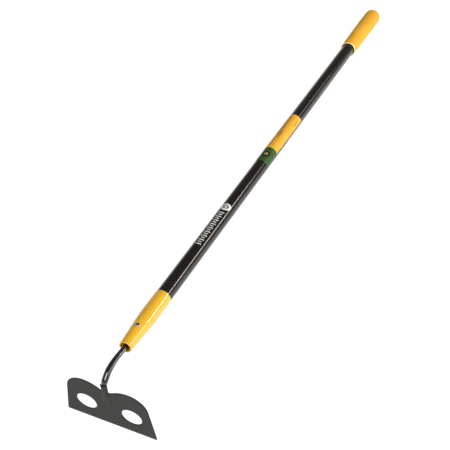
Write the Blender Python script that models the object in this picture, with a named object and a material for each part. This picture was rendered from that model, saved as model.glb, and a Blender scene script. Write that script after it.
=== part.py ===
"""Mixing hoe: pressed steel blade, forged gooseneck, ferrule and fibreglass handle.

The tool is laid out with the front face of the blade in the plane y = 0, the
cutting edge along x at z = 0 and the handle running away in +y.  It is then
tipped into the attitude it takes when dropped on a floor, with the cutting
edge and the end grip touching, and centred over the origin.
"""
import math

import bmesh
import bpy
from mathutils import Matrix, Vector
from mathutils.geometry import delaunay_2d_cdt

MM = 0.001
GAP = 0.3                       # clearance between neighbouring pieces, mm
SIDES = 48                      # facets round every turned piece

# blade, mm
BLADE_HALF = 88.9               # half width along the cutting edge
SHEET = 1.8                     # thickness of the pressed sheet
SIDE_LEAN = 0.1331              # inward lean of the sides per unit of height
TOE_RADIUS = 1.5                # lower corners
LOBE_X = 43.5                   # each lobe peaks this far from the middle
LOBE_TOP = 108.4
SHOULDER_RADIUS = 35.6          # outer side of a lobe
SADDLE_RADIUS = 51.9            # inner side of a lobe, down to the notch
NOTCH_RADIUS = 3.0              # rounds the saddle into the tongue
TONGUE_HALF = 6.65
TONGUE_TOP = 120.3
TONGUE_CORNER = 1.8
HOLE_X = 44.3
HOLE_Z = 45.0
HOLE_RADIUS = 19.8
EDGE_BREAK = 0.3                # chamfer round every rim of the sheet
CHANNEL_RADIUS = 6.8            # outside of the channel pressed into the tongue
RIB = (                         # height up the blade and how far the rib stands out
    (46.0, 0.0), (54.0, 0.4), (62.0, 1.1), (70.0, 2.0), (80.0, 3.3), (90.0, 4.7),
    (98.0, 5.6), (104.0, 6.0), (121.0, 6.0),
)
RIB_SPREAD = (                  # height up the blade and half width of the rib
    (46.0, 4.5), (60.0, 7.4), (72.0, 8.8), (86.0, 10.2), (98.0, 10.6), (104.0, 10.6),
)

# handle line: distances along it are from the plane of the blade, mm
AXIS_HEIGHT = 138.06
AXIS_ANGLE = math.radians(8.989)  # drop of the handle below square to the blade
AXIS = Vector((0.0, math.cos(AXIS_ANGLE), -math.sin(AXIS_ANGLE)))
UP = Vector((0.0, math.sin(AXIS_ANGLE), math.cos(AXIS_ANGLE)))
SIDE = Vector((1.0, 0.0, 0.0))
START = Vector((0.0, 0.0, AXIS_HEIGHT))

# gooseneck
TANG = (                        # distance along the handle and radius, tip first
    (222.0, 2.0), (220.0, 3.2), (177.0, 3.8), (145.0, 4.2), (125.3, 4.3), (98.0, 4.5),
    (88.0, 4.6),
)
NECK = (                        # y, z, half thickness, half width down the neck
    (76.6, 126.5, 5.1, 5.1), (62.7, 129.6, 5.2, 5.2), (51.7, 132.2, 5.3, 5.3),
    (41.4, 133.8, 5.4, 5.4), (32.5, 134.2, 5.65, 5.65), (23.9, 133.4, 5.85, 5.85),
    (16.9, 131.2, 5.95, 5.95), (10.6, 127.6, 5.9, 6.0), (6.2, 124.7, 5.6, 6.0),
    (3.4, 122.3, 5.15, 5.8), (1.5, 119.0, 4.6, 5.2), (0.6, 115.4, 4.15, 4.8),
)
FOOT = (                        # z, y, half thickness and half width behind the rib
    (112.0, 0.4, 4.0, 4.7), (106.0, 0.35, 3.8, 4.6), (100.0, 0.3, 3.55, 4.2),
    (94.0, 0.35, 3.0, 4.2), (86.0, 0.7, 2.35, 4.0), (78.0, 1.1, 1.6, 3.6),
    (72.0, 1.3, 1.05, 2.9), (68.5, 1.6, 0.65, 1.6),
)
WELD = (                        # z and x of the weld's inner edge, down one side
    (98.0, 4.65), (94.0, 4.65), (86.0, 4.45), (78.0, 4.05), (72.0, 3.4), (68.5, 2.4),
    (66.7, 1.2),
)
WELD_LEG = 2.2
WELD_RISE = 1.5

# ferrule
MOUTH = 80.2
MOUTH_BORE = 9.2
LIP_RADIUS = 1.4
FERRULE_END = 222.8
FERRULE_WALL = 0.6
BARREL = (                      # distance along the handle and outer radius
    (84.5, 12.3), (92.0, 12.8), (104.0, 13.55), (118.0, 14.45), (132.0, 15.35),
    (146.0, 16.1), (158.0, 16.6), (170.0, 16.78), (185.0, 16.8), (205.0, 16.8),
    (220.5, 16.78),
)
RIVET_AT = 125.3
RIVET_RADIUS = 2.0
RIVET_HEAD = 4.3
RIVET_SEAT = 15.6               # underside of the head, from the handle line

# handle
TUBE_RADIUS = 15.875
TUBE_BORE = 12.5
TUBE_START = 166.0
TUBE_END = 1505.0
CORE_START = 106.0
CORE_END = 300.0

# labels
LABEL_THICK = 0.2
LABEL_HALF_ANGLE = math.radians(76.0)
LABEL_LOW = 695.0
LABEL_SPLIT = 751.5
LABEL_HIGH = 904.0

# end grip
GRIP_START = 1296.0
GRIP_RIM = 19.8
GRIP_LIP = 17.6                 # the mouth opens a little wider than the bore
GRIP_FULL = 20.9
GRIP_DOME = 1507.0
GRIP_TIP = 1528.0
SWELL = ((1302.0, 19.6), (1325.0, 19.7), (1366.0, 20.15), (1408.0, 20.55), (1450.0, 20.9))


def clear_scene():
    for item in list(bpy.data.objects):
        bpy.data.objects.remove(item, do_unlink=True)


def material(name, colour, metallic, roughness):
    made = bpy.data.materials.new(name)
    made.use_nodes = True
    shader = made.node_tree.nodes["Principled BSDF"]
    shader.inputs["Base Color"].default_value = (*colour, 1.0)
    shader.inputs["Metallic"].default_value = metallic
    shader.inputs["Roughness"].default_value = roughness
    return made


def finish(name, bm, look, smooth_angle=35.0):
    """Turn a bmesh laid out in millimetres into a named object in metres."""
    bmesh.ops.remove_doubles(bm, verts=bm.verts, dist=1e-3)
    bmesh.ops.recalc_face_normals(bm, faces=bm.faces)
    if bm.calc_volume(signed=True) < 0.0:
        bmesh.ops.reverse_faces(bm, faces=bm.faces)
    bmesh.ops.scale(bm, vec=(MM, MM, MM), verts=bm.verts)
    limit = math.radians(smooth_angle)
    for face in bm.faces:
        face.smooth = True
    for edge in bm.edges:
        sharp = len(edge.link_faces) == 2 and edge.calc_face_angle(0.0) > limit
        edge.smooth = not sharp
    mesh = bpy.data.meshes.new(name)
    bm.to_mesh(mesh)
    bm.free()
    mesh.materials.append(look)
    made = bpy.data.objects.new(name, mesh)
    bpy.context.scene.collection.objects.link(made)
    return made


def bridge(bm, low, high, closed=True):
    """Skin the strip between two rings, or two open lines, of vertices."""
    count = len(low)
    for i in range(count if closed else count - 1):
        j = (i + 1) % count
        corners = []
        for corner in (low[i], low[j], high[j], high[i]):
            if corner not in corners:
                corners.append(corner)
        if len(corners) > 2:
            bm.faces.new(corners)


def turned(name, profile, look, origin=START, axis=AXIS, up=UP, side=SIDE, sides=SIDES):
    """Revolve a closed profile of (distance, radius) pairs; radius 0 is on the axis."""
    bm = bmesh.new()
    rings = []
    for along, radius in profile:
        if radius <= 0.0:
            rings.append([bm.verts.new(origin + axis * along)] * sides)
            continue
        ring = []
        for i in range(sides):
            angle = 2.0 * math.pi * i / sides
            around = side * math.sin(angle) + up * math.cos(angle)
            ring.append(bm.verts.new(origin + axis * along + around * radius))
        rings.append(ring)
    on_centre = profile[0][1] <= 0.0 and profile[-1][1] <= 0.0
    last = len(rings) - 1 if on_centre else len(rings)
    for i in range(last):
        bridge(bm, rings[i], rings[(i + 1) % len(rings)])
    return finish(name, bm, look)


def arc(centre, radius, start, stop, steps):
    """Points on an arc, angles in degrees."""
    points = []
    for i in range(steps + 1):
        angle = math.radians(start + (stop - start) * i / steps)
        reach = (radius * math.cos(angle), radius * math.sin(angle))
        points.append((centre[0] + reach[0], centre[1] + reach[1]))
    return points


def ease(t):
    t = min(1.0, max(0.0, t))
    return t * t * (3.0 - 2.0 * t)


def through(table, where):
    """Smooth curve through a table of (position, value) pairs."""
    if where <= table[0][0]:
        return table[0][1]
    if where >= table[-1][0]:
        return table[-1][1]
    slopes = []
    for i in range(len(table)):
        before = table[max(i - 1, 0)]
        after = table[min(i + 1, len(table) - 1)]
        slopes.append((after[1] - before[1]) / (after[0] - before[0]))
    i = max(k for k in range(len(table) - 1) if table[k][0] <= where)
    span = table[i + 1][0] - table[i][0]
    t = (where - table[i][0]) / span
    value = table[i][1] * (1.0 - ease(t)) + table[i + 1][1] * ease(t)
    return value + span * t * (1.0 - t) * ((1.0 - t) * slopes[i] - t * slopes[i + 1])


def rib_height(x, z):
    """How far the sheet is pressed forward at a point of the blade."""
    crest = through(RIB, z)
    spread = through(RIB_SPREAD, z)
    swell = crest * max(0.0, 1.0 - (x / spread) ** 2) ** 2
    inside = min(abs(x), TONGUE_HALF + 0.1)
    channel = crest - CHANNEL_RADIUS + math.sqrt(CHANNEL_RADIUS ** 2 - inside ** 2)
    channel *= 1.0 - ease((abs(x) - TONGUE_HALF) / 2.0)
    share = ease((z - 94.0) / 12.0)
    return swell * (1.0 - share) + channel * share


def rib_slope(x, z):
    step = 0.05
    across = (rib_height(x + step, z) - rib_height(x - step, z)) / (2.0 * step)
    upward = (rib_height(x, z + step) - rib_height(x, z - step)) / (2.0 * step)
    return across, upward


def on_sheet(x, z, depth):
    """Point at a depth below the front skin of the pressed sheet."""
    across, upward = rib_slope(x, z)
    inward = Vector((across, 1.0, upward)).normalized()
    return Vector((x, -rib_height(x, z), z)) + inward * depth


def blade_outline():
    """Right half of the blade from the toe up and over the tongue, then its mirror."""
    lean = math.degrees(math.atan(SIDE_LEAN))
    toe_x = BLADE_HALF - TOE_RADIUS * (1.0 / math.cos(math.radians(lean)) + SIDE_LEAN)
    half = arc((toe_x, TOE_RADIUS), TOE_RADIUS, -90.0, lean, 5)
    half += arc((LOBE_X, LOBE_TOP - SHOULDER_RADIUS), SHOULDER_RADIUS, lean, 90.0, 18)
    saddle = (LOBE_X, LOBE_TOP - SADDLE_RADIUS)
    notch_x = TONGUE_HALF + NOTCH_RADIUS
    reach = SADDLE_RADIUS + NOTCH_RADIUS
    turn = math.acos((LOBE_X - notch_x) / reach)
    notch = (notch_x, saddle[1] + reach * math.sin(turn))
    half += arc(saddle, SADDLE_RADIUS, 90.0, 180.0 - math.degrees(turn), 12)[1:]
    half += arc(notch, NOTCH_RADIUS, -math.degrees(turn), -180.0, 6)[1:]
    corner = (TONGUE_HALF - TONGUE_CORNER, TONGUE_TOP - TONGUE_CORNER)
    for z in (104.0, 108.0, 112.0, 116.0):
        half.append((TONGUE_HALF, z))
    half += arc(corner, TONGUE_CORNER, 0.0, 90.0, 3)
    half += [(2.2, TONGUE_TOP)]
    mirror = [(-x, z) for x, z in reversed(half)]
    return half + [(0.0, TONGUE_TOP)] + mirror


def inset(points, amount):
    """Move a counter-clockwise loop inwards by an amount, corner by corner."""
    moved = []
    count = len(points)
    for i in range(count):
        here = Vector(points[i])
        first = (here - Vector(points[i - 1])).normalized()
        second = (Vector(points[(i + 1) % count]) - here).normalized()
        left = Vector((-first.y, first.x))
        normal = (left + Vector((-second.y, second.x))).normalized()
        moved.append(tuple(here + normal * (amount / max(0.5, normal.dot(left)))))
    return moved


def inside(point, loop):
    """True where a point lies within a closed loop."""
    hit = False
    for i, (x1, z1) in enumerate(loop):
        x0, z0 = loop[i - 1]
        if (z0 > point[1]) != (z1 > point[1]):
            if point[0] < x0 + (x1 - x0) * (point[1] - z0) / (z1 - z0):
                hit = not hit
    return hit


def rib_points(outline, pitch):
    """Extra vertices that let the sheet follow the pressed rib."""
    points = []
    shrunk = inset(outline, 0.5 * pitch)
    rows = int((TONGUE_TOP - RIB[0][0]) / pitch)
    for j in range(rows):
        z = RIB[0][0] + pitch * (j + 0.5)
        reach = through(RIB_SPREAD, z) + 0.5
        columns = int(2.0 * reach / pitch) + 1
        for i in range(columns):
            x = reach * (2.0 * i / (columns - 1) - 1.0)
            if inside((x, z), shrunk):
                points.append((x, z))
    return points


def build_blade(look):
    """Sheet with two holes, a raised central rib and a tongue folded over the neck."""
    bm = bmesh.new()
    outline = blade_outline()
    loops = [outline]
    for x in (-HOLE_X, HOLE_X):
        loops.append(arc((x, HOLE_Z), HOLE_RADIUS, 0.0, -360.0, SIDES)[:-1])
    flat, edges, rims, skins = [], [], [], ([], [])
    for loop in loops:
        inner = inset(loop, EDGE_BREAK)
        rims.append(inner)
        first = len(flat)
        flat += inner
        count = len(inner)
        edges += [(first + i, first + (i + 1) % count) for i in range(count)]
        rings = []
        for shape, depth in ((inner, 0.0), (loop, EDGE_BREAK), (loop, SHEET - EDGE_BREAK),
                             (inner, SHEET)):
            rings.append([bm.verts.new(on_sheet(x, z, depth)) for x, z in shape])
        for low, high in zip(rings, rings[1:]):
            bridge(bm, low, high)
        skins[0].extend(rings[0])
        skins[1].extend(rings[-1])
    for x, z in rib_points(outline, 2.6):
        flat.append((x, z))
        skins[0].append(bm.verts.new(on_sheet(x, z, 0.0)))
        skins[1].append(bm.verts.new(on_sheet(x, z, SHEET)))
    found = delaunay_2d_cdt([Vector(p) for p in flat], edges, [], 1, 1e-6)
    for triangle in found[2]:
        middle = sum((found[0][k] for k in triangle), Vector((0.0, 0.0))) / 3.0
        if not inside(middle, rims[0]) or any(inside(middle, rim) for rim in rims[1:]):
            continue
        corners = [found[3][k][0] for k in triangle]
        bm.faces.new([skins[0][k] for k in corners])
        bm.faces.new([skins[1][k] for k in reversed(corners)])
    return finish("blade", bm, look)


def spline(points, steps):
    """Evenly subdivided smooth curve through points of any number of values."""
    made = []
    for i in range(len(points) - 1):
        before = points[max(i - 1, 0)]
        after = points[min(i + 2, len(points) - 1)]
        for k in range(steps):
            t = k / steps
            value = []
            for a, b, c, d in zip(before, points[i], points[i + 1], after):
                value.append(0.5 * (2.0 * b + (c - a) * t + (2.0 * a - 5.0 * b + 4.0 * c - d) * t * t
                                    + (3.0 * b - a - 3.0 * c + d) * t ** 3))
            made.append(tuple(value))
    made.append(tuple(points[-1]))
    return made


def neck_stations():
    """Centre, thickness direction, half thickness and half width along the forging."""
    stations = []
    for along, radius in TANG:
        stations.append((START + AXIS * along, UP, radius, radius))
    curve = spline(NECK, 2)
    for i, (y, z, thick, wide) in enumerate(curve):
        before = curve[max(i - 1, 0)]
        after = curve[min(i + 1, len(curve) - 1)]
        run = Vector((0.0, after[0] - before[0], after[1] - before[1])).normalized()
        stations.append((Vector((0.0, y, z)), Vector((0.0, run.z, -run.y)), thick, wide))
    for z, y, thick, wide in FOOT:
        stations.append((Vector((0.0, y, z)), Vector((0.0, -1.0, 0.0)), thick, wide))
    return stations


def build_gooseneck(look, sides=24):
    bm = bmesh.new()
    rings = []
    for centre, out, thick, wide in neck_stations():
        ring = []
        for i in range(sides):
            angle = 2.0 * math.pi * i / sides
            offset = out * math.cos(angle) * thick + SIDE * math.sin(angle) * wide
            ring.append(bm.verts.new(centre + offset))
        rings.append(ring)
    for low, high in zip(rings, rings[1:]):
        bridge(bm, low, high)
    bm.faces.new(rings[0])
    bm.faces.new(rings[-1])
    return finish("gooseneck", bm, look)


def build_weld(look):
    """Fillet weld round the foot of the neck, on the back of the blade."""
    right = [(x, z) for z, x in WELD]
    path = right + [(0.0, WELD[-1][0] - 0.3)] + [(-x, z) for x, z in reversed(right)]
    bm = bmesh.new()
    rings = []
    for i, (x, z) in enumerate(path):
        before = path[max(i - 1, 0)]
        after = path[min(i + 1, len(path) - 1)]
        run = Vector((after[0] - before[0], after[1] - before[1])).normalized()
        away = Vector((-run.y, run.x))
        size = 0.55 if i in (0, len(path) - 1) else 1.0
        ring = []
        for out, rise in ((0.0, 0.0), (1.0, 0.0), (0.5, 0.35), (0.12, 1.0)):
            px = x + away.x * out * WELD_LEG * size
            pz = z + away.y * out * WELD_LEG * size
            across, upward = rib_slope(px, pz)
            skin = (SHEET + GAP) * math.sqrt(1.0 + across ** 2 + upward ** 2)
            y = -rib_height(px, pz) + skin + rise * WELD_RISE * size
            ring.append(bm.verts.new((px, y, pz)))
        rings.append(ring)
    for low, high in zip(rings, rings[1:]):
        bridge(bm, low, high)
    bm.faces.new(rings[0])
    bm.faces.new(rings[-1])
    return finish("neck_weld", bm, look)


def ferrule_bore(along):
    """Inner radius of the ferrule, which opens out to take the handle."""
    seat = TUBE_RADIUS + GAP
    return seat if along >= TUBE_START - 4.0 else min(through(BARREL, along) - FERRULE_WALL, seat)


def build_ferrule(look):
    lip = arc((MOUTH, MOUTH_BORE + LIP_RADIUS), LIP_RADIUS, -90.0, -270.0, 8)
    end = [(FERRULE_END - 0.5, 16.7), (FERRULE_END, 16.5), (FERRULE_END, TUBE_RADIUS + GAP)]
    bore = []
    for at in (200.0, 162.0, 156.0, 146.0, 132.0, 118.0, 104.0, 92.0, 86.0):
        bore.append((at, ferrule_bore(at)))
    bore.append((MOUTH + 2.5, MOUTH_BORE + 1.2))
    return turned("ferrule", lip + list(BARREL) + end + bore, look)


def build_rivet(look):
    """Through rivet across the ferrule: shank, domed head above and button below."""
    seat = RIVET_SEAT
    dome = 1.7
    profile = [
        (-seat - 1.3, 0.0), (-seat - 1.3, 3.0), (-seat - 0.8, 3.7), (-seat, 3.8),
        (-seat, RIVET_RADIUS), (seat, RIVET_RADIUS), (seat, RIVET_HEAD),
    ]
    for i in range(1, 6):
        angle = math.radians(18.0 * i)
        radius = RIVET_HEAD * math.cos(angle) if i < 5 else 0.0
        profile.append((seat + 0.25 + dome * math.sin(angle), radius))
    centre = START + AXIS * RIVET_AT
    return turned("ferrule_rivet", profile, look, centre, UP, AXIS, SIDE, 24)


def build_core(look):
    """Turned plug filling the nose of the ferrule and the lower bore of the handle."""
    nose = [(CORE_START, ferrule_bore(CORE_START) - GAP - 1.0)]
    for at in (CORE_START + 1.0, 118.0, 132.0, 146.0, 156.0):
        nose.append((at, ferrule_bore(at) - GAP))
    shoulder = TUBE_START - GAP
    spigot = TUBE_BORE - GAP
    nose += [(shoulder, nose[-1][1]), (shoulder, spigot)]
    tail = [(CORE_END - 1.0, spigot), (CORE_END, spigot - 1.0), (CORE_END, 0.0)]
    hole = [(TANG[0][0] + GAP, 0.0)]
    for along, radius in TANG[:-1]:
        if along > CORE_START:
            hole.append((along + GAP, radius + 1.3 * GAP))
    hole.append((CORE_START, TANG[-1][1] + 1.3 * GAP))
    return turned("core_plug", nose + tail + hole, look)


def build_tube(look):
    corner = 0.4
    profile = [
        (TUBE_START, TUBE_BORE), (TUBE_START, TUBE_RADIUS - corner),
        (TUBE_START + corner, TUBE_RADIUS), (TUBE_END - corner, TUBE_RADIUS),
        (TUBE_END, TUBE_RADIUS - corner), (TUBE_END, TUBE_BORE),
    ]
    return turned("handle_tube", profile, look)


def build_label(name, low, high, look):
    """Thin sticker wrapped over the top of the handle."""
    inner = TUBE_RADIUS + GAP
    outer = inner + LABEL_THICK
    steps = 24
    bm = bmesh.new()
    lines = []
    for along, radius in ((low, inner), (low, outer), (high, outer), (high, inner)):
        line = []
        for i in range(steps + 1):
            angle = LABEL_HALF_ANGLE * (2.0 * i / steps - 1.0)
            around = SIDE * math.sin(angle) + UP * math.cos(angle)
            line.append(bm.verts.new(START + AXIS * along + around * radius))
        lines.append(line)
    for i in range(4):
        bridge(bm, lines[i], lines[(i + 1) % 4], closed=False)
    bm.faces.new([line[0] for line in lines])
    bm.faces.new([line[-1] for line in lines])
    return finish(name, bm, look)


def build_grip(look):
    """Slip-on cap: rolled rim, slow swell and a domed end, bored to take the handle."""
    bore = TUBE_RADIUS + GAP
    profile = [
        (GRIP_START, GRIP_LIP), (GRIP_START, GRIP_RIM - 1.1),
        (GRIP_START + 0.4, GRIP_RIM - 0.4), (GRIP_START + 1.2, GRIP_RIM),
    ]
    profile += list(SWELL)
    steps = 10
    for i in range(steps + 1):
        angle = 0.5 * math.pi * i / steps
        radius = GRIP_FULL * math.cos(angle) if i < steps else 0.0
        profile.append((GRIP_DOME + (GRIP_TIP - GRIP_DOME) * math.sin(angle), radius))
    depth = TUBE_END + GAP
    profile += [(depth, 0.0), (depth, bore), (GRIP_START + 8.0, bore)]
    return turned("end_grip", profile, look)


def cut(target, cutter):
    step = target.modifiers.new("rivet hole", "BOOLEAN")
    step.operation = "DIFFERENCE"
    step.solver = "EXACT"
    step.object = cutter


def rivet_hole_cutter(look):
    """Guide for the hole that the rivet passes through; it isn't part of the tool."""
    reach = 25.0
    radius = RIVET_RADIUS + GAP
    profile = [(-reach, 0.0), (-reach, radius), (reach, radius), (reach, 0.0)]
    centre = START + AXIS * RIVET_AT
    made = turned("cut_rivet_hole", profile, look, centre, UP, AXIS, SIDE, 24)
    made.hide_render = True
    made.display_type = "WIRE"
    return made


def settle(objects):
    """Tip the tool onto its cutting edge and end grip, then centre it on the origin."""
    ring = START + AXIS * GRIP_DOME
    reach = math.hypot(ring.y, ring.z)
    tilt = math.asin(GRIP_FULL / reach) - math.atan2(ring.z, ring.y)
    turn = Matrix.Rotation(tilt, 4, "X")
    low = Vector((1e9, 1e9, 1e9))
    high = -low
    for item in objects:
        item.data.transform(turn)
        for vertex in item.data.vertices:
            for i in range(3):
                low[i] = min(low[i], vertex.co[i])
                high[i] = max(high[i], vertex.co[i])
    shift = Vector((-0.5 * (low.x + high.x), -0.5 * (low.y + high.y), -low.z))
    for item in objects:
        item.data.transform(Matrix.Translation(shift))


def build():
    clear_scene()
    grey_paint = material("grey_paint", (0.055, 0.055, 0.052), 0.0, 0.55)
    black_steel = material("black_steel", (0.02, 0.02, 0.02), 0.6, 0.25)
    weld_paint = material("weld_paint", (0.05, 0.05, 0.048), 0.0, 0.6)
    yellow_paint = material("yellow_paint", (0.95, 0.45, 0.04), 0.0, 0.2)
    bare_steel = material("bare_steel", (0.6, 0.6, 0.6), 1.0, 0.3)
    ash = material("ash_wood", (0.55, 0.38, 0.2), 0.0, 0.7)
    fibreglass = material("black_fibreglass", (0.025, 0.02, 0.018), 0.0, 0.3)
    green_vinyl = material("green_vinyl", (0.05, 0.2, 0.04), 0.0, 0.45)
    yellow_vinyl = material("yellow_vinyl", (0.98, 0.5, 0.05), 0.0, 0.45)
    soft_yellow = material("yellow_rubber", (0.95, 0.42, 0.03), 0.0, 0.7)

    neck = build_gooseneck(black_steel)
    ferrule = build_ferrule(yellow_paint)
    core = build_core(ash)
    cutter = rivet_hole_cutter(bare_steel)
    for target in (ferrule, core, neck):
        cut(target, cutter)
    half_gap = 0.5 * GAP
    settle([
        build_blade(grey_paint), neck, build_weld(weld_paint), ferrule,
        build_rivet(bare_steel), core, build_tube(fibreglass),
        build_label("label_lower", LABEL_LOW, LABEL_SPLIT - half_gap, green_vinyl),
        build_label("label_upper", LABEL_SPLIT + half_gap, LABEL_HIGH, yellow_vinyl),
        build_grip(soft_yellow), cutter,
    ])


build()
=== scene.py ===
import math

import bmesh
import bpy
from mathutils import Matrix, Vector
from mathutils.geometry import delaunay_2d_cdt


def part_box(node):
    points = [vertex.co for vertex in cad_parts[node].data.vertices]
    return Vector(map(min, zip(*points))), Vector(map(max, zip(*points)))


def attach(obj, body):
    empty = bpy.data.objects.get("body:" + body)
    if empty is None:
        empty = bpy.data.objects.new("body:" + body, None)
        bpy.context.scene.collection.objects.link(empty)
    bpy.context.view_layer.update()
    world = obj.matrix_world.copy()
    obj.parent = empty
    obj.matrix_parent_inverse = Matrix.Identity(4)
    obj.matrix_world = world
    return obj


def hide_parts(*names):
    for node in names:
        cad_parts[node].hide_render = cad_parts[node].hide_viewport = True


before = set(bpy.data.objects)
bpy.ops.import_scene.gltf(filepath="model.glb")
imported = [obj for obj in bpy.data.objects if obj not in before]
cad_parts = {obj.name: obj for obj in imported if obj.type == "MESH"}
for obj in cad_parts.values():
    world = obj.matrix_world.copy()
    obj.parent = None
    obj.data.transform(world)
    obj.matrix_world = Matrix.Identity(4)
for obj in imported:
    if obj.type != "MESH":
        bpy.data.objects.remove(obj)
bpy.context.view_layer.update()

MM = 0.001

# ---------------------------------------------------------------- where things are
NECK_DROP = math.radians(8.989)   # the handle drops this much below square to the blade
AXIS_HEIGHT = 138.06              # where the handle line crosses the plane of the blade
TUBE_START = 166.0
TUBE_END = 1505.0
TUBE_RADIUS = 15.875
FIRST_DIP, DIP_ROUNDS = 0.08, 20  # the slope is found by repeated correction


def handle_line():
    """Point on the handle line at the tube's lower end, and how far the line dips."""
    low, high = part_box("handle_tube")
    radius = 0.5 * (high[0] - low[0])
    dip = FIRST_DIP
    for _ in range(DIP_ROUNDS):
        lower = Vector((0.0, low[1] + radius * math.sin(dip), high[2] - radius * math.cos(dip)))
        upper = Vector((0.0, high[1] - radius * math.sin(dip), low[2] + radius * math.cos(dip)))
        dip = math.atan2(lower.z - upper.z, upper.y - lower.y)
    return lower, dip


TUBE_FOOT, DIP = handle_line()
TURN = Matrix.Rotation(NECK_DROP - DIP, 4, "X")
AXIS = Vector((0.0, math.cos(NECK_DROP), -math.sin(NECK_DROP)))
UP = Vector((0.0, math.sin(NECK_DROP), math.cos(NECK_DROP)))
SIDE = Vector((1.0, 0.0, 0.0))
START = Vector((0.0, 0.0, AXIS_HEIGHT))
# HEAD: blade front at y = 0 and cutting edge at z = 0
HEAD = Matrix.Translation(TUBE_FOOT - TURN @ ((START + AXIS * TUBE_START) * MM)) @ TURN
# SHAFT: +z runs up the handle and -y points up out of it
SHAFT = Matrix.Translation(HEAD @ (START * MM)) @ Matrix.Rotation(-0.5 * math.pi - DIP, 4, "X")


# ---------------------------------------------------------------- meshes
def piece(name, bm, place, looks, slot, *nodes, bend=32.0, creases=()):
    """Finish a bmesh built in millimetres as a named piece of the hoe."""
    bmesh.ops.recalc_face_normals(bm, faces=bm.faces)
    if bm.calc_volume(signed=True) < 0.0:
        bmesh.ops.reverse_faces(bm, faces=bm.faces)
    bmesh.ops.transform(bm, matrix=place @ Matrix.Scale(MM, 4), verts=bm.verts)
    limit = math.radians(bend)
    for face in bm.faces:
        face.smooth = True
    for edge in bm.edges:
        edge.smooth = not (len(edge.link_faces) == 2 and edge.calc_face_angle(0.0) > limit)
    for edge in creases:
        edge.smooth = False
    mesh = bpy.data.meshes.new(name)
    bm.to_mesh(mesh)
    bm.free()
    for look in looks if isinstance(looks, tuple) else (looks,):
        mesh.materials.append(look)
    made = bpy.data.objects.new(name, mesh)
    bpy.context.scene.collection.objects.link(made)
    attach(made, "root")
    if nodes:
        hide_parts(*nodes)
    return made


def bridge(bm, low, high, closed=True, look=0):
    """Skin the strip between two rings, or two open lines, of vertices."""
    count = len(low)
    for i in range(count if closed else count - 1):
        j = (i + 1) % count
        corners = []
        for corner in (low[i], low[j], high[j], high[i]):
            if corner not in corners:
                corners.append(corner)
        if len(corners) > 2:
            bm.faces.new(corners).material_index = look


def turned(profile, place=Matrix.Identity(4), sides=96):
    """Revolve a closed profile of (distance along z, radius) pairs."""
    bm = bmesh.new()
    rings = []
    for along, radius in profile:
        if radius <= 0.0:
            rings.append([bm.verts.new(place @ Vector((0.0, 0.0, along)))] * sides)
            continue
        ring = []
        for i in range(sides):
            angle = 2.0 * math.pi * i / sides
            around = Vector((radius * math.sin(angle), -radius * math.cos(angle), along))
            ring.append(bm.verts.new(place @ around))
        rings.append(ring)
    on_centre = profile[0][1] <= 0.0 and profile[-1][1] <= 0.0
    for i in range(len(rings) - 1 if on_centre else len(rings)):
        bridge(bm, rings[i], rings[(i + 1) % len(rings)])
    return bm


def arc(centre, radius, start, stop, steps):
    """Points on an arc, angles in degrees."""
    points = []
    for i in range(steps + 1):
        angle = math.radians(start + (stop - start) * i / steps)
        reach = (radius * math.cos(angle), radius * math.sin(angle))
        points.append((centre[0] + reach[0], centre[1] + reach[1]))
    return points


def dome(foot, rise, radius, steps):
    """Rounded end of a turned profile, from its full radius to a point on the axis."""
    points = []
    for i in range(steps + 1):
        angle = 0.5 * math.pi * i / steps
        reach = radius * math.cos(angle) if i < steps else 0.0
        points.append((foot + rise * math.sin(angle), reach))
    return points


def ease(t):
    t = min(1.0, max(0.0, t))
    return t * t * (3.0 - 2.0 * t)


def through(table, where):
    """Smooth curve through (position, value) pairs."""
    if where <= table[0][0]:
        return table[0][1]
    if where >= table[-1][0]:
        return table[-1][1]
    slopes = []
    for i in range(len(table)):
        before, after = table[max(i - 1, 0)], table[min(i + 1, len(table) - 1)]
        slopes.append((after[1] - before[1]) / (after[0] - before[0]))
    i = max(k for k in range(len(table) - 1) if table[k][0] <= where)
    span = table[i + 1][0] - table[i][0]
    t = (where - table[i][0]) / span
    value = table[i][1] * (1.0 - ease(t)) + table[i + 1][1] * ease(t)
    return value + span * t * (1.0 - t) * ((1.0 - t) * slopes[i] - t * slopes[i + 1])


def spline(points, steps):
    """Smooth curve through points of any number of values."""
    made = []
    for i in range(len(points) - 1):
        before, after = points[max(i - 1, 0)], points[min(i + 2, len(points) - 1)]
        rows = (before, points[i], points[i + 1], after)
        for k in range(steps):
            t = k / steps
            value = []
            for a, b, c, d in zip(*rows):
                curve = (2.0 * a - 5.0 * b + 4.0 * c - d) * t * t
                twist = (3.0 * b - a - 3.0 * c + d) * t ** 3
                value.append(0.5 * (2.0 * b + (c - a) * t + curve + twist))
            made.append(tuple(value))
    made.append(tuple(points[-1]))
    return made


# ---------------------------------------------------------------- node recipes
class Wire:
    """A node's output that takes part in arithmetic; each operator adds a Math node."""

    def __init__(self, recipe, socket):
        self.recipe = recipe
        self.socket = socket

    def _sum(self, operation, first, second):
        settings = {"operation": operation}
        return self.recipe.add("ShaderNodeMath", settings, {0: first, 1: second})

    def __add__(self, other):
        return self._sum("ADD", self, other)

    __radd__ = __add__

    def __sub__(self, other):
        return self._sum("SUBTRACT", self, other)

    def __rsub__(self, other):
        return self._sum("SUBTRACT", other, self)

    def __mul__(self, other):
        return self._sum("MULTIPLY", self, other)

    __rmul__ = __mul__


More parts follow.
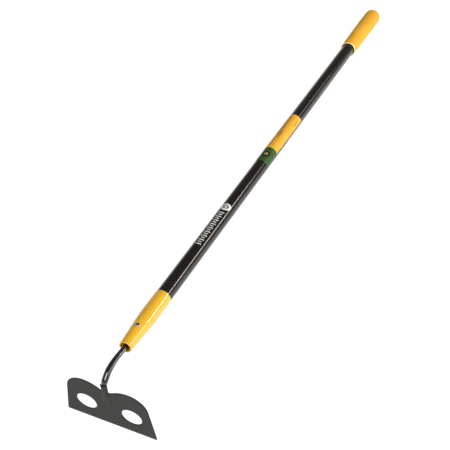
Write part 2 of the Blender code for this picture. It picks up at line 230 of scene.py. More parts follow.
class Recipe:
    """The nodes of a material, or of the studio's air, while they are put together."""

    def __init__(self, owner, shader="Principled BSDF", coordinates="Object",
                 along=Matrix.Identity(4), **fixed):
        owner.use_nodes = True
        self.owner = owner
        self.tree = owner.node_tree
        self.shader = self.tree.nodes[shader]
        for socket, value in fixed.items():
            self.shader.inputs[socket.replace("_", " ")].default_value = value
        back = along.inverted()
        sockets = {"Vector": self.add("ShaderNodeTexCoord", {}, {}, coordinates),
                   "Location": back.to_translation(), "Rotation": back.to_euler()}
        self.place = self.add("ShaderNodeMapping", {}, sockets)

    def add(self, kind, settings, sockets, out=0):
        node = self.tree.nodes.new(kind)
        for name, value in settings.items():
            setattr(node, name, value)
        for name, value in sockets.items():
            if isinstance(value, Wire):
                self.tree.links.new(value.socket, node.inputs[name])
            else:
                node.inputs[name].default_value = value
        return Wire(self, node.outputs[out])

    def stretched(self, scale):
        return self.add("ShaderNodeMapping", {}, {"Vector": self.place, "Scale": scale})

    def noise(self, scale, detail=4.0, rough=0.55, vector=None):
        sockets = {"Vector": vector or self.place, "Scale": scale, "Detail": detail,
                   "Roughness": rough}
        return self.add("ShaderNodeTexNoise", {}, sockets)

    def cells(self, scale, out="Distance"):
        return self.add("ShaderNodeTexVoronoi", {}, {"Vector": self.place, "Scale": scale}, out)

    def band(self, value, low, high, to_low=0.0, to_high=1.0):
        settings = {"clamp": True, "interpolation_type": "SMOOTHSTEP"}
        sockets = {"Value": value, "From Min": low, "From Max": high,
                   "To Min": to_low, "To Max": to_high}
        return self.add("ShaderNodeMapRange", settings, sockets)

    def mix(self, factor, first, second):
        first = first if isinstance(first, Wire) else (*first, 1.0)
        second = second if isinstance(second, Wire) else (*second, 1.0)
        return self.add("ShaderNodeMix", {"data_type": "RGBA"}, {0: factor, 6: first, 7: second}, 2)

    def part_of_place(self, letter):
        return self.add("ShaderNodeSeparateXYZ", {}, {0: self.place}, letter)

    def bump(self, height, strength, distance):
        sockets = {"Height": height, "Strength": strength, "Distance": distance}
        return self.add("ShaderNodeBump", {}, sockets)

    def feed(self, **sockets):
        for name, value in sockets.items():
            self.tree.links.new(value.socket, self.shader.inputs[name.replace("_", " ")])
        return self.owner


def paint(name, along, **fixed):
    return Recipe(bpy.data.materials.new(name), along=along, **fixed)


def grey_paint():
    """Dull charcoal paint on sheet steel: fine orange peel and faint rubbed streaks."""
    r = paint("grey_paint", HEAD, Specular_IOR_Level=0.3)
    cloud = r.noise(16.0, 3.0)
    grain = r.noise(1500.0, 2.0)
    peel = r.noise(420.0, 2.0)
    streak = r.band(r.noise(70.0, 5.0, 0.7, r.stretched((0.12, 1.0, 1.6))), 0.6, 0.8)
    base = r.mix(r.band(cloud, 0.3, 0.7), (0.020, 0.020, 0.019), (0.025, 0.025, 0.0235))
    colour = r.mix(streak * 0.35, base, (0.034, 0.033, 0.031))
    rough = 0.54 + grain * 0.12 + cloud * 0.05 - streak * 0.06
    bump = r.bump(peel + grain * 0.4 - streak * 0.3, 0.12, 0.0003)
    return r.feed(Base_Color=colour, Roughness=rough, Normal=bump)


def painted_rim_shade():
    """Rim of the sheet: near black as painted shade along its edges, faintly scored across by the
    shear.
    """
    r = paint("painted_rim_shade", HEAD, Specular_IOR_Level=0.1)
    score = r.noise(900.0, 3.0, 0.6, r.stretched((1.0, 0.15, 1.0)))
    # the near-black colour is painted shade on the sheet's edges and hole walls
    colour = r.mix(score, (0.005, 0.005, 0.005), (0.012, 0.012, 0.011))
    return r.feed(Base_Color=colour, Roughness=0.6 + score * 0.2, Normal=r.bump(score, 0.2, 0.0002))


def black_lacquer():
    """Deep gloss over a forged rod whose surface still undulates a little."""
    r = paint("black_lacquer", HEAD, Coat_Weight=1.0, Coat_Roughness=0.04, Coat_IOR=1.6,
              Specular_IOR_Level=0.5)
    forged = r.noise(75.0, 2.0)
    pits = r.noise(650.0, 3.0)
    colour = r.mix(r.band(pits, 0.35, 0.75), (0.008, 0.008, 0.009), (0.016, 0.016, 0.016))
    rough = 0.16 + pits * 0.10
    bump = r.bump(forged + pits * 0.05, 0.10, 0.0006)
    return r.feed(Base_Color=colour, Roughness=rough, Normal=bump)


def weld_metal():
    """Painted weld: rough, with a trace of slag."""
    r = paint("weld_metal", HEAD, Specular_IOR_Level=0.4)
    slag = r.noise(800.0, 4.0)
    colour = r.mix(r.band(slag, 0.35, 0.7), (0.028, 0.028, 0.027), (0.055, 0.054, 0.051))
    return r.feed(Base_Color=colour, Roughness=0.45 + slag * 0.2, Normal=r.bump(slag, 0.3, 0.0003))


def yellow_enamel():
    """Bright yellow enamel with a clear gloss."""
    r = paint("yellow_enamel", SHAFT, Coat_Weight=1.0, Coat_Roughness=0.04, Coat_IOR=1.6,
              Specular_IOR_Level=0.2)
    cloud = r.noise(18.0, 2.0)
    peel = r.noise(240.0, 2.0)
    speck = r.band(r.noise(900.0, 2.0), 0.68, 0.76)
    base = r.mix(r.band(cloud, 0.3, 0.7), (0.92, 0.49, 0.020), (0.96, 0.53, 0.028))
    colour = r.mix(speck * 0.25, base, (0.60, 0.30, 0.02))
    rough = 0.34 + peel * 0.1
    return r.feed(Base_Color=colour, Roughness=rough, Normal=r.bump(peel, 0.012, 0.0004))


def rivet_steel():
    """Bare steel, lightly marked where the rivet was closed."""
    r = paint("rivet_steel", SHAFT, Metallic=1.0)
    marks = r.noise(900.0, 3.0)
    colour = r.mix(marks, (0.42, 0.40, 0.37), (0.72, 0.70, 0.66))
    rough = 0.2 + marks * 0.16
    return r.feed(Base_Color=colour, Roughness=rough, Normal=r.bump(marks, 0.1, 0.0002))


def ash_wood():
    """Turned ash with its grain along the handle."""
    r = paint("ash_wood", SHAFT)
    grain = r.noise(60.0, 4.0, vector=r.stretched((1.0, 1.0, 0.08)))
    colour = r.mix(r.band(grain, 0.35, 0.65), (0.10, 0.065, 0.035), (0.19, 0.13, 0.07))
    return r.feed(Base_Color=colour, Roughness=0.6 + grain * 0.2, Normal=r.bump(grain, 0.2, 0.0005))


def black_fibreglass():
    """Brown-black resin over glass strands that run the length of the handle."""
    r = paint("black_fibreglass", SHAFT, Specular_IOR_Level=0.42)
    strands = r.noise(900.0, 3.0, vector=r.stretched((1.0, 1.0, 0.012)))
    drift = r.noise(14.0, 3.0)
    colour = r.mix(r.band(strands, 0.3, 0.75), (0.0085, 0.0060, 0.0050), (0.0190, 0.0140, 0.0120))
    rough = 0.09 + strands * 0.06 + drift * 0.03
    return r.feed(Base_Color=colour, Roughness=rough, Normal=r.bump(strands, 0.05, 0.0002))


def printed(name, colour, rough=0.36):
    """Ink or vinyl: a trace of mottle and a low sheen."""
    r = paint(name, SHAFT, Specular_IOR_Level=0.2)
    mottle = r.noise(120.0, 3.0)
    dark = tuple(c * 0.92 for c in colour)
    shade = r.mix(r.band(mottle, 0.3, 0.7), dark, colour)
    return r.feed(Base_Color=shade, Roughness=rough + mottle * 0.12,
                  Normal=r.bump(mottle, 0.04, 0.0002))


def soft_yellow():
    """Moulded soft grip: dull, finely pebbled, pale cream over the rim at its mouth."""
    r = paint("soft_yellow", SHAFT, Specular_IOR_Level=0.35)
    pebble = r.cells(1500.0)
    cloud = r.noise(26.0, 3.0)
    base = r.mix(r.band(cloud, 0.3, 0.7), (0.89, 0.455, 0.026), (0.94, 0.495, 0.034))
    # pale cream over the rim, fading out between 1 and 2.4 mm up from the mouth
    mouth = r.band(r.part_of_place("Z"), (GRIP_START + 1.0) * MM, (GRIP_START + 2.4) * MM, 1.0, 0.0)
    colour = r.mix(mouth, base, (0.95, 0.84, 0.58))
    rough = 0.62 + cloud * 0.1
    return r.feed(Base_Color=colour, Roughness=rough, Normal=r.bump(pebble, 0.10, 0.0002))


def floor_paper():
    """Pale paper that glows a little, so that hardly any shadow shows on it."""
    r = paint("floor_paper", Matrix.Identity(4), Specular_IOR_Level=0.2,
              Emission_Color=(1.0, 1.0, 1.0, 1.0), Emission_Strength=FLOOR_GLOW)
    fibre = r.noise(40.0, 3.0)
    colour = r.mix(fibre, (0.27, 0.27, 0.27), (0.29, 0.29, 0.29))
    return r.feed(Base_Color=colour, Roughness=0.85 + fibre * 0.05)


# ---------------------------------------------------------------- blade
BLADE_HALF = 88.9
SHEET = 1.8
SIDE_LEAN = 0.1331
TOE_RADIUS = 1.5
LOBE_X, LOBE_TOP = 43.5, 108.4
SHOULDER_RADIUS, SADDLE_RADIUS = 35.6, 51.9
NOTCH_RADIUS = 3.0
TONGUE_HALF, TONGUE_TOP, TONGUE_CORNER = 6.65, 120.3, 1.8
HOLE_X, HOLE_Z, HOLE_RADIUS = 44.3, 45.0, 19.8
RIM_RADIUS = 0.5
CHANNEL_RADIUS = 6.8              # curve of the tongue round the foot of the neck
CHANNEL_LOW, CHANNEL_RUN = 94.0, 12.0
CHANNEL_EDGE = 2.0
RIB_PITCH = 1.3
HOLE_SIDES = 96
RIB = ((46.0, 0.0), (54.0, 0.4), (62.0, 1.1), (70.0, 2.0), (80.0, 3.3), (90.0, 4.7),
       (98.0, 5.6), (104.0, 6.0), (121.0, 6.0))
RIB_SPREAD = ((46.0, 4.5), (60.0, 7.4), (72.0, 8.8), (86.0, 10.2), (98.0, 10.6), (104.0, 10.6))


def rib_height(x, z):
    """How far the sheet is pressed forward at a point of the blade."""
    crest, spread = through(RIB, z), through(RIB_SPREAD, z)
    swell = crest * max(0.0, 1.0 - (x / spread) ** 2) ** 2
    inside = min(abs(x), TONGUE_HALF + 0.1)
    channel = crest - CHANNEL_RADIUS + math.sqrt(CHANNEL_RADIUS ** 2 - inside ** 2)
    channel *= 1.0 - ease((abs(x) - TONGUE_HALF) / CHANNEL_EDGE)
    share = ease((z - CHANNEL_LOW) / CHANNEL_RUN)
    return swell * (1.0 - share) + channel * share


def on_sheet(x, z, depth):
    """Point at a depth below the front skin of the pressed sheet."""
    step = 0.05
    across = (rib_height(x + step, z) - rib_height(x - step, z)) / (2.0 * step)
    upward = (rib_height(x, z + step) - rib_height(x, z - step)) / (2.0 * step)
    inward = Vector((across, 1.0, upward)).normalized()
    return Vector((x, -rib_height(x, z), z)) + inward * depth


def blade_outline():
    """Right half of the blade from the toe up and over the tongue, then its mirror."""
    lean = math.degrees(math.atan(SIDE_LEAN))
    toe_x = BLADE_HALF - TOE_RADIUS * (1.0 / math.cos(math.radians(lean)) + SIDE_LEAN)
    half = arc((toe_x, TOE_RADIUS), TOE_RADIUS, -90.0, lean, 6)
    half += arc((LOBE_X, LOBE_TOP - SHOULDER_RADIUS), SHOULDER_RADIUS, lean, 90.0, 36)
    saddle = (LOBE_X, LOBE_TOP - SADDLE_RADIUS)
    notch_x = TONGUE_HALF + NOTCH_RADIUS
    reach = SADDLE_RADIUS + NOTCH_RADIUS
    turn = math.acos((LOBE_X - notch_x) / reach)
    notch = (notch_x, saddle[1] + reach * math.sin(turn))
    half += arc(saddle, SADDLE_RADIUS, 90.0, 180.0 - math.degrees(turn), 26)[1:]
    half += arc(notch, NOTCH_RADIUS, -math.degrees(turn), -180.0, 12)[1:]
    steps = 14
    side_top = TONGUE_TOP - TONGUE_CORNER
    half += [(TONGUE_HALF, notch[1] + (side_top - notch[1]) * i / steps) for i in range(1, steps)]
    half += arc((TONGUE_HALF - TONGUE_CORNER, side_top), TONGUE_CORNER, 0.0, 90.0, 6)
    half += [(x, TONGUE_TOP) for x in (3.3, 2.2, 1.1)]
    return half + [(0.0, TONGUE_TOP)] + [(-x, z) for x, z in reversed(half)]


def inset(points, amount):
    """Move a counter-clockwise loop inwards by an amount, corner by corner."""
    moved = []
    for i, here in enumerate(points):
        here = Vector(here)
        first = (here - Vector(points[i - 1])).normalized()
        second = (Vector(points[(i + 1) % len(points)]) - here).normalized()
        left = Vector((-first.y, first.x))
        normal = (left + Vector((-second.y, second.x))).normalized()
        moved.append(tuple(here + normal * (amount / max(0.5, normal.dot(left)))))
    return moved


def inside(point, loop):
    """True where a point lies within a closed loop."""
    hit = False
    for i, (x1, z1) in enumerate(loop):
        x0, z0 = loop[i - 1]
        if (z0 > point[1]) != (z1 > point[1]):
            if point[0] < x0 + (x1 - x0) * (point[1] - z0) / (z1 - z0):
                hit = not hit
    return hit


def rib_points(outline, pitch):
    """Extra vertices that let the sheet follow the pressed rib."""
    points = []
    shrunk = inset(outline, RIM_RADIUS + 0.5 * pitch)
    for j in range(int((TONGUE_TOP - RIB[0][0]) / pitch)):
        z = RIB[0][0] + pitch * (j + 0.5)
        reach = through(RIB_SPREAD, z) + 0.5
        columns = int(2.0 * reach / pitch) + 1
        for i in range(columns):
            x = reach * (2.0 * i / (columns - 1) - 1.0)
            if inside((x, z), shrunk):
                points.append((x, z))
    return points


def blade_sheet(face_look, rim_look):
    """Pressed sheet with two holes, a raised rib and a tongue folded over the neck."""
    bm = bmesh.new()
    outline = blade_outline()
    loops = [outline]
    for x in (-HOLE_X, HOLE_X):
        loops.append(arc((x, HOLE_Z), HOLE_RADIUS, 0.0, -360.0, HOLE_SIDES)[:-1])
    rounded = [(RIM_RADIUS * (1.0 - math.sin(a)), RIM_RADIUS * (1.0 - math.cos(a)))
               for a in (0.0, math.pi / 6.0, math.pi / 3.0, 0.5 * math.pi)]
    across = rounded + [(amount, SHEET - depth) for amount, depth in reversed(rounded)]
    flat, edges, rims, skins, creases = [], [], [], ([], []), []
    for loop in loops:
        inner = inset(loop, RIM_RADIUS)
        rims.append(inner)
        first, count = len(flat), len(inner)
        flat += inner
        edges += [(first + i, first + (i + 1) % count) for i in range(count)]
        rings = []
        for amount, depth in across:
            shape = inset(loop, amount)
            rings.append([bm.verts.new(on_sheet(x, z, depth)) for x, z in shape])
        # the rim faces take the second look, near black as painted shade
        for low, high in zip(rings, rings[1:]):
            bridge(bm, low, high, look=1)
        for ring in (rings[0], rings[-1]):
            for i in range(count):
                creases.append(bm.edges.get((ring[i], ring[(i + 1) % count])))
        skins[0].extend(rings[0])
        skins[1].extend(rings[-1])
    # the end of the tongue takes the face paint, unlike the rest of the rim, whose near-black
    # colour is painted shade
    for face in bm.faces:
        if face.calc_center_median().z > TONGUE_TOP - 0.6:
            face.material_index = 0
    for x, z in rib_points(outline, RIB_PITCH):
        flat.append((x, z))
        skins[0].append(bm.verts.new(on_sheet(x, z, 0.0)))
        skins[1].append(bm.verts.new(on_sheet(x, z, SHEET)))
    found = delaunay_2d_cdt([Vector(p) for p in flat], edges, [], 1, 1e-6)
    for triangle in found[2]:
        middle = sum((found[0][k] for k in triangle), Vector((0.0, 0.0))) / 3.0
        if not inside(middle, rims[0]) or any(inside(middle, rim) for rim in rims[1:]):
            continue
        corners = [found[3][k][0] for k in triangle]
        bm.faces.new([skins[0][k] for k in corners])
        bm.faces.new([skins[1][k] for k in reversed(corners)])
    looks = (face_look, rim_look)
    return piece("blade_sheet", bm, HEAD, looks, "grey_paint", "blade", creases=creases)


# ---------------------------------------------------------------- gooseneck and weld
TANG = ((140.0, 4.2), (118.0, 4.4), (98.0, 4.5), (88.0, 4.6))
NECK = ((76.6, 126.5, 5.1, 5.1), (62.7, 129.6, 5.2, 5.2), (51.7, 132.2, 5.3, 5.3),
        (41.4, 133.8, 5.4, 5.4), (32.5, 134.2, 5.65, 5.65), (23.9, 133.4, 5.85, 5.85),
        (16.9, 131.2, 5.95, 5.95), (10.6, 127.6, 5.9, 6.0), (6.2, 124.7, 5.6, 6.0),
        (3.4, 122.3, 5.15, 5.8), (1.5, 119.0, 4.6, 5.2), (0.6, 115.4, 4.15, 4.8))
FOOT = ((112.0, 0.4, 4.0, 4.7), (106.0, 0.35, 3.8, 4.6), (100.0, 0.3, 3.55, 4.2),
        (94.0, 0.35, 3.0, 4.2), (86.0, 0.7, 2.35, 4.0), (78.0, 1.1, 1.6, 3.6),
        (72.0, 1.3, 1.05, 2.9), (68.5, 1.6, 0.65, 1.6), (67.6, 1.75, 0.3, 0.7))
WELD = ((98.5, 4.75), (94.0, 4.75), (86.0, 4.6), (78.0, 4.2), (72.0, 3.6), (68.5, 2.7),
        (66.6, 1.4), (66.0, 0.0))


def gooseneck(look, sides=48):
    """Forged rod that runs out of the ferrule, bends down and flattens behind the rib."""
    stations = []
    for along, radius in TANG:
        stations.append((START + AXIS * along, UP, radius, radius))
    curve = spline(NECK, 5)
    for i, (y, z, thick, wide) in enumerate(curve):
        before, after = curve[max(i - 1, 0)], curve[min(i + 1, len(curve) - 1)]
        run = Vector((0.0, after[0] - before[0], after[1] - before[1])).normalized()
        stations.append((Vector((0.0, y, z)), Vector((0.0, run.z, -run.y)), thick, wide))
    for z, y, thick, wide in spline(FOOT, 3):
        stations.append((Vector((0.0, y, z)), Vector((0.0, -1.0, 0.0)), thick, wide))
    bm = bmesh.new()
    rings = []
    for centre, out, thick, wide in stations:
        ring = []
        for i in range(sides):
            angle = 2.0 * math.pi * i / sides
            offset = out * math.cos(angle) * thick + SIDE * math.sin(angle) * wide
            ring.append(bm.verts.new(centre + offset))
        rings.append(ring)
    for low, high in zip(rings, rings[1:]):
        bridge(bm, low, high)
    bm.faces.new(rings[0])
    bm.faces.new(rings[-1])
    return piece("gooseneck_rod", bm, HEAD, look, "black_steel", "gooseneck")


def weld_bead(look, leg=2.0, rise=1.4, ripple=1.3):
    """Fillet weld round the foot of the neck, laid in overlapping ripples."""
    right = [(x, z) for z, x in WELD]
    path = spline(right + [(-x, z) for x, z in reversed(right[:-1])], 8)
    bm = bmesh.new()
    rings = []
    walked = 0.0
    for i, (x, z) in enumerate(path):
        before, after = path[max(i - 1, 0)], path[min(i + 1, len(path) - 1)]
        walked += math.dist(before, (x, z))
        run = Vector((after[0] - before[0], after[1] - before[1])).normalized()
        away = Vector((-run.y, run.x))
        ends = ease(min(i, len(path) - 1 - i) / 5.0)
        size = (0.45 + 0.55 * ends) * (1.0 + 0.09 * math.sin(2.0 * math.pi * walked / ripple))
        ring = []
        for k in range(9):
            angle = math.pi * k / 8
            out = 0.5 - 0.5 * math.cos(angle)
            px, pz = x + away.x * out * leg * size, z + away.y * out * leg * size
            lift = rise * size * math.sin(angle) * (1.15 - 0.5 * out)
            ring.append(bm.verts.new(on_sheet(px, pz, SHEET + 0.05 + lift)))
        rings.append(ring)
    for low, high in zip(rings, rings[1:]):
        bridge(bm, low, high)
    bm.faces.new(rings[0])
    bm.faces.new(rings[-1])
    return piece("weld_bead", bm, HEAD, look, "weld_paint", "neck_weld", bend=60.0)


# ---------------------------------------------------------------- ferrule
MOUTH, MOUTH_BORE, LIP_RADIUS = 80.2, 9.2, 1.4
BARREL = ((84.5, 12.3), (92.0, 12.8), (104.0, 13.55), (118.0, 14.45), (132.0, 15.35),
          (146.0, 16.1), (158.0, 16.6), (170.0, 16.78), (185.0, 16.8), (205.0, 16.8),
          (220.5, 16.78))
FERRULE_END = 222.8
RIVET_AT, RIVET_SEAT = 125.3, 15.6
RIVET_HEAD, RIVET_DOME, RIVET_SHANK = 4.3, 1.6, 2.0
DIMPLE_REACH, DIMPLE_DEPTH = 9.0, 0.9
FERRULE_BORE = ((200.0, 15.93), (162.0, 15.9), (146.0, 15.3), (118.0, 13.6), (92.0, 11.9),
                (MOUTH + 3.0, 10.4))


def ferrule(look):
    """Rolled mouth, flared barrel and a turned-in upper end, all one thin tube."""
    profile = arc((MOUTH, MOUTH_BORE + LIP_RADIUS), LIP_RADIUS, -90.0, -270.0, 12)
    # closer rings round the rivet, where the dimple is pressed in
    for rings in (range(84, 110, 2), range(111, 140), range(142, 220, 4)):
        profile += [(at, through(BARREL, at)) for at in rings]
    profile += [(FERRULE_END - 1.4, 16.77), (FERRULE_END - 0.5, 16.7), (FERRULE_END - 0.1, 16.5),
                (FERRULE_END, 16.25), (FERRULE_END, 15.95)]
    profile += FERRULE_BORE
    bm = turned(profile, sides=120)
    for vertex in bm.verts:
        reach = math.hypot(vertex.co.x, vertex.co.z - RIVET_AT)
        if vertex.co.y < 0.0 and reach < DIMPLE_REACH:
            vertex.co.y += DIMPLE_DEPTH * (1.0 - ease(reach / DIMPLE_REACH))
    return piece("ferrule_shell", bm, SHAFT, look, "yellow_paint", "ferrule")


def ferrule_rivet(look):
    """Domed head in its dimple, the shank, and the button closed up underneath."""
    seat = RIVET_SEAT - DIMPLE_DEPTH + 0.15
    button = -RIVET_SEAT
    profile = [(button - 1.3, 0.0), (button - 1.3, 2.6), (button - 1.1, 3.3),
               (button - 0.6, 3.7), (button + 0.6, 3.8), (button + 0.6, RIVET_SHANK),
               (seat - 0.6, RIVET_SHANK), (seat - 0.6, RIVET_HEAD)]
    profile += dome(seat + 0.15, RIVET_DOME, RIVET_HEAD, 10)
    stand = Matrix.Translation((0.0, 0.0, RIVET_AT)) @ Matrix.Rotation(0.5 * math.pi, 4, "X")
    bm = turned(profile, stand, 48)
    return piece("ferrule_rivet_head", bm, SHAFT, look, "bare_steel", "ferrule_rivet")


# ---------------------------------------------------------------- handle
GRIP_START, GRIP_DOME, GRIP_TIP = 1296.0, 1507.0, 1527.8
GRIP_RIM, GRIP_LIP, GRIP_FULL = 19.8, 17.6, 20.85
TUBE_BORE = 12.5
GRIP_BORE = 16.0
GRIP_PITCH = 6.0
SWELL = ((1302.0, 19.6), (1325.0, 19.7), (1366.0, 20.15), (1408.0, 20.55), (1450.0, 20.85),
         (GRIP_DOME, GRIP_FULL))


def handle_tube(look):
    """Straight tube with its two cut ends eased."""
    steps = 40
    length = TUBE_END - TUBE_START
    end = TUBE_RADIUS - 0.475
    profile = [(TUBE_START, TUBE_BORE), (TUBE_START, end), (TUBE_START + 0.4, TUBE_RADIUS)]
    profile += [(TUBE_START + length * i / steps, TUBE_RADIUS) for i in range(1, steps)]
    profile += [(TUBE_END - 0.4, TUBE_RADIUS), (TUBE_END, end), (TUBE_END, TUBE_BORE)]
    bm = turned(profile)
    return piece("handle_tube_body", bm, SHAFT, look, "black_fibreglass", "handle_tube")


def end_grip(look):
    """Slip-on sleeve: trimmed mouth, rolled rim, slow swell and a domed end."""
    low = GRIP_START
    profile = [(low + 8.0, GRIP_BORE), (low + 0.6, GRIP_LIP - 0.1), (low, GRIP_LIP + 0.5),
               (low, 18.9), (low + 0.3, 19.5), (low + 1.1, GRIP_RIM), (low + 2.4, GRIP_RIM),
               (low + 3.6, 19.6)]
    at = low + GRIP_PITCH
    while at < GRIP_DOME:
        profile.append((at, through(SWELL, at)))
        at += GRIP_PITCH
    profile += dome(GRIP_DOME, GRIP_TIP - GRIP_DOME, GRIP_FULL, 24)
    profile += [(TUBE_END + 0.5, 0.0), (TUBE_END + 0.5, GRIP_BORE)]
    bm = turned(profile)
    bmesh.ops.remove_doubles(bm, verts=bm.verts, dist=1e-4)
    return piece("end_grip_sleeve", bm, SHAFT, look, "yellow_rubber", "end_grip")


# ---------------------------------------------------------------- stickers and print
LABEL_LOW, LABEL_SPLIT, LABEL_HIGH = 695.0, 751.5, 904.0
LABEL_REACH = math.radians(76.0) * TUBE_RADIUS
LABEL_THICK = 0.15
DISC_AT, DISC_WIDE = 723.3, 10.5
# start, end, distance round the handle, height and the lengths of the dashes in a row
DASHES = ((806.0, 892.0, -5.0, 2.2, (5.0, 3.0, 7.0, 4.0)),
          (794.0, 828.0, -0.6, 2.2, (4.0, 6.0, 3.0)),
          (866.0, 890.0, 13.8, 1.8, (4.0, 5.0)))
MARK_AT, MARK_WIDE = 507.0, 11.5
TICK_START, TICK_PITCH, TICK_WIDE, TICK_COUNT = 374.0, 6.9, 2.8, 17
TICK_TALL, TICK_SHORT = 12.0, 8.0


def strip(bm, low, high, left, right, radius, thick):
    """Raised patch between two distances up the handle and two round it."""
    steps = max(1, int(abs(right - left) / 1.2))
    rows = []
    for along, r in ((low, radius), (low, radius + thick), (high, radius + thick), (high, radius)):
        row = []
        for i in range(steps + 1):
            angle = (left + (right - left) * i / steps) / radius
            row.append(bm.verts.new((r * math.sin(angle), -r * math.cos(angle), along)))
        rows.append(row)
    for i in range(4):
        bridge(bm, rows[i], rows[(i + 1) % 4], closed=False)
    bm.faces.new([row[0] for row in rows])
    bm.faces.new([row[-1] for row in rows])


def disc(bm, centre, wide, radius, thick, inner=0.0, sides=48):
    """Raised round patch, or a ring when it has an inner radius."""
    layers = []
    for lift in (0.0, thick):
        rings = []
        for k in range(7):
            reach = inner + (wide - inner) * k / 6
            ring = []
            for i in range(sides):
                turn = 2.0 * math.pi * i / sides
                angle = (centre[1] + reach * math.sin(turn)) / radius
                along = centre[0] + reach * math.cos(turn)
                out = radius + lift
                ring.append(bm.verts.new((out * math.sin(angle), -out * math.cos(angle), along)))
            rings.append(ring)
        for low, high in zip(rings, rings[1:]):
            bridge(bm, low, high)
        layers.append(rings)
    bridge(bm, layers[0][-1], layers[1][-1])
    bridge(bm, layers[0][0], layers[1][0])
    bmesh.ops.remove_doubles(bm, verts=bm.verts, dist=1e-4)


def dash_line(bm, low, high, around, tall, radius, lengths, space=1.6):
    """Row of plain dashes up the handle."""
    at, turn = low, 0
    while at < high:
        end = min(high, at + lengths[turn % len(lengths)])
        strip(bm, at, end, around - 0.5 * tall, around + 0.5 * tall, radius, 0.04)
        at = end + space
        turn += 1


def stickers(green, yellow, black, tan, brown, pale):
    """Green and yellow labels with a plain ring in a disc and rows of plain dashes."""
    skin = TUBE_RADIUS + 0.03
    for name, low, high, look, slot_name, node in (
        ("sticker_green", LABEL_LOW, LABEL_SPLIT - 0.4, green, "green_vinyl", "label_lower"),
        ("sticker_yellow", LABEL_SPLIT + 0.4, LABEL_HIGH, yellow, "yellow_vinyl", "label_upper"),
    ):
        bm = bmesh.new()
        strip(bm, low, high, -LABEL_REACH, LABEL_REACH, skin, LABEL_THICK)
        piece(name, bm, SHAFT, look, slot_name, node)
    bm = bmesh.new()
    low, high = LABEL_SPLIT - 0.7, LABEL_SPLIT + 0.7
    strip(bm, low, high, -LABEL_REACH, LABEL_REACH, skin + 0.12, 0.08)
    piece("sticker_seam", bm, SHAFT, pale, "yellow_vinyl")
    ink = skin + LABEL_THICK
    bm = bmesh.new()
    disc(bm, (DISC_AT, 0.0), DISC_WIDE, ink, 0.05)
    piece("sticker_disc", bm, SHAFT, black, "green_vinyl")
    bm = bmesh.new()
    disc(bm, (DISC_AT, 0.0), 4.6, ink + 0.05, 0.04, inner=2.4)
    piece("sticker_ring", bm, SHAFT, tan, "green_vinyl")
    bm = bmesh.new()
    for low, high, around, tall, lengths in DASHES:
        dash_line(bm, low, high, around, tall, ink, lengths)
    piece("sticker_lines", bm, SHAFT, brown, "yellow_vinyl")


def handle_print(white, black):
    """Plain round mark and a row of tick marks printed on the lower handle."""
    ink = TUBE_RADIUS + 0.02
    bm = bmesh.new()
    disc(bm, (MARK_AT, 0.0), MARK_WIDE, ink, 0.05)
    piece("handle_mark", bm, SHAFT, white, "black_fibreglass")
    bm = bmesh.new()
    disc(bm, (MARK_AT, 0.0), 6.0, ink + 0.05, 0.04, inner=3.4)
    piece("handle_mark_ring", bm, SHAFT, black, "black_fibreglass")
    bm = bmesh.new()
    for i in range(TICK_COUNT):
        at = TICK_START + TICK_PITCH * i
        tall = TICK_TALL if i % 2 == 0 else TICK_SHORT
        strip(bm, at, at + TICK_WIDE, -0.5 * tall - 0.5, 0.5 * tall - 0.5, ink, 0.05)
    piece("handle_ticks", bm, SHAFT, white, "black_fibreglass")


# ---------------------------------------------------------------- studio
CAMERA_AT = Vector((0.623024, -0.785565, 1.498659))
LOOK = Vector((-0.3045, 0.62574, -0.71814))
CAMERA_RIGHT = Vector((0.91375, 0.40479, -0.03473))
FOCAL, SENSOR = 79.7, 36.0
FLOOR_SIZE, FLOOR_STEPS = 9.0, 12
FLOOR_GLOW = 0.88
AIR_LOW, AIR_HIGH = 0.3, 0.12
STRIP_TINT = (1.0, 0.92, 0.86)
KEY_TINT = (1.0, 0.98, 0.94)
KEY_PLACE, KEY_AIM, KEY_WIDE, KEY_POWER = (0.7, -3.3, 3.0), (0.0, -0.2, 0.05), 1.9, 108.0
STRIP_AWAY = 0.8
# name, then each end as distance up the handle and angle round it, then width and power
STRIPS = (("strip_low", (-260.0, 60.0), (660.0, 68.0), 0.26, 3.3),
          ("strip_near", (680.0, 66.0), (1500.0, 45.0), 0.10, 5.0),
          ("strip_far", (1480.0, 45.0), (2350.0, 44.0), 0.06, 1.1))


def camera():
    data = bpy.data.cameras.new("camera")
    data.sensor_width = SENSOR
    data.lens = FOCAL
    data.clip_end = 50.0
    made = bpy.data.objects.new("camera", data)
    bpy.context.scene.collection.objects.link(made)
    back = -LOOK.normalized()
    right = CAMERA_RIGHT.normalized()
    turn = Matrix((right, back.cross(right), back)).transposed().to_4x4()
    made.matrix_world = HEAD @ Matrix.Translation(CAMERA_AT) @ turn
    bpy.context.scene.camera = made


def softbox(name, place, target, along, wide, deep, power, tint=STRIP_TINT):
    """Rectangular light aimed at a target, its longer side lying along a direction."""
    data = bpy.data.lights.new(name, "AREA")
    data.shape = "RECTANGLE"
    data.size = wide
    data.size_y = deep
    data.energy = power
    data.color = tint
    made = bpy.data.objects.new(name, data)
    bpy.context.scene.collection.objects.link(made)
    back = (Vector(place) - Vector(target)).normalized()
    side = Vector(along).cross(back).normalized()
    turn = Matrix((side, back.cross(side), back)).transposed().to_4x4()
    made.matrix_world = Matrix.Translation(place) @ turn


def beside_handle(along, angle, distance):
    """Point at a distance from the handle line, turned from its top towards +x."""
    turn = math.radians(angle)
    return SHAFT @ Vector((distance * math.sin(turn), -distance * math.cos(turn), along * MM))


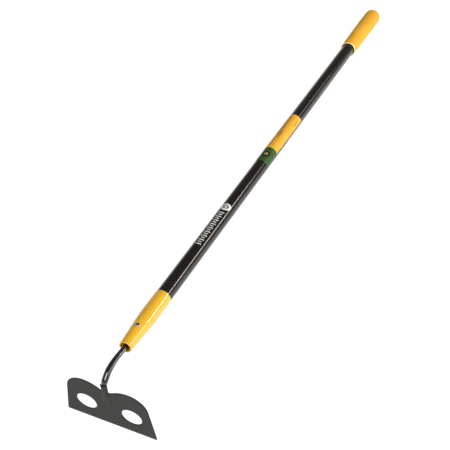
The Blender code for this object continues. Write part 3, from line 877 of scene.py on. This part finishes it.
def studio():
    """Pale floor, dim air that is brighter low down, three strip lights and a key light."""
    bm = bmesh.new()
    marks = [FLOOR_SIZE * (i / FLOOR_STEPS - 0.5) for i in range(FLOOR_STEPS + 1)]
    grid = [[bm.verts.new((x, y, 0.0)) for y in marks] for x in marks]
    for low, high in zip(grid, grid[1:]):
        bridge(bm, low, high, closed=False)
    bmesh.ops.recalc_face_normals(bm, faces=bm.faces)
    mesh = bpy.data.meshes.new("studio_floor")
    bm.to_mesh(mesh)
    bm.free()
    mesh.materials.append(floor_paper())
    floor = bpy.data.objects.new("studio_floor", mesh)
    bpy.context.scene.collection.objects.link(floor)
    air = Recipe(bpy.data.worlds.new("studio_air"), "Background", "Generated")
    glow = air.band(air.part_of_place("Z"), 0.02, 0.5, AIR_LOW, AIR_HIGH)
    bpy.context.scene.world = air.feed(Color=air.mix(glow, (0.0, 0.0, 0.0), (1.0, 1.0, 1.0)))
    bpy.context.scene.view_settings.view_transform = "Standard"
    for name, low, high, wide, power in STRIPS:
        first = beside_handle(*low, STRIP_AWAY)
        last = beside_handle(*high, STRIP_AWAY)
        middle = 0.5 * (first + last)
        aim = SHAFT @ Vector((0.0, 0.0, 0.5 * (low[0] + high[0]) * MM))
        softbox(name, middle, aim, last - first, wide, (last - first).length, power)
    softbox("key_box", KEY_PLACE, KEY_AIM, SIDE, KEY_WIDE, KEY_WIDE, KEY_POWER, KEY_TINT)


# ---------------------------------------------------------------- assembly
def build():
    camera()
    yellow = yellow_enamel()
    black = printed("black_ink", (0.012, 0.012, 0.010))
    blade_sheet(grey_paint(), painted_rim_shade())
    gooseneck(black_lacquer())
    weld_bead(weld_metal())
    ferrule(yellow)
    ferrule_rivet(rivet_steel())
    handle_tube(black_fibreglass())
    end_grip(soft_yellow())
    stickers(
        printed("green_vinyl", (0.030, 0.105, 0.020)),
        printed("yellow_vinyl", (0.89, 0.45, 0.040)),
        black,
        printed("tan_ink", (0.75, 0.45, 0.14)),
        printed("brown_ink", (0.20, 0.08, 0.015)),
        printed("pale_edge", (0.65, 0.62, 0.10)),
    )
    handle_print(printed("white_ink", (0.85, 0.85, 0.83)), black)
    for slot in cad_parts["core_plug"].material_slots:
        slot.material = ash_wood()
    studio()


build()
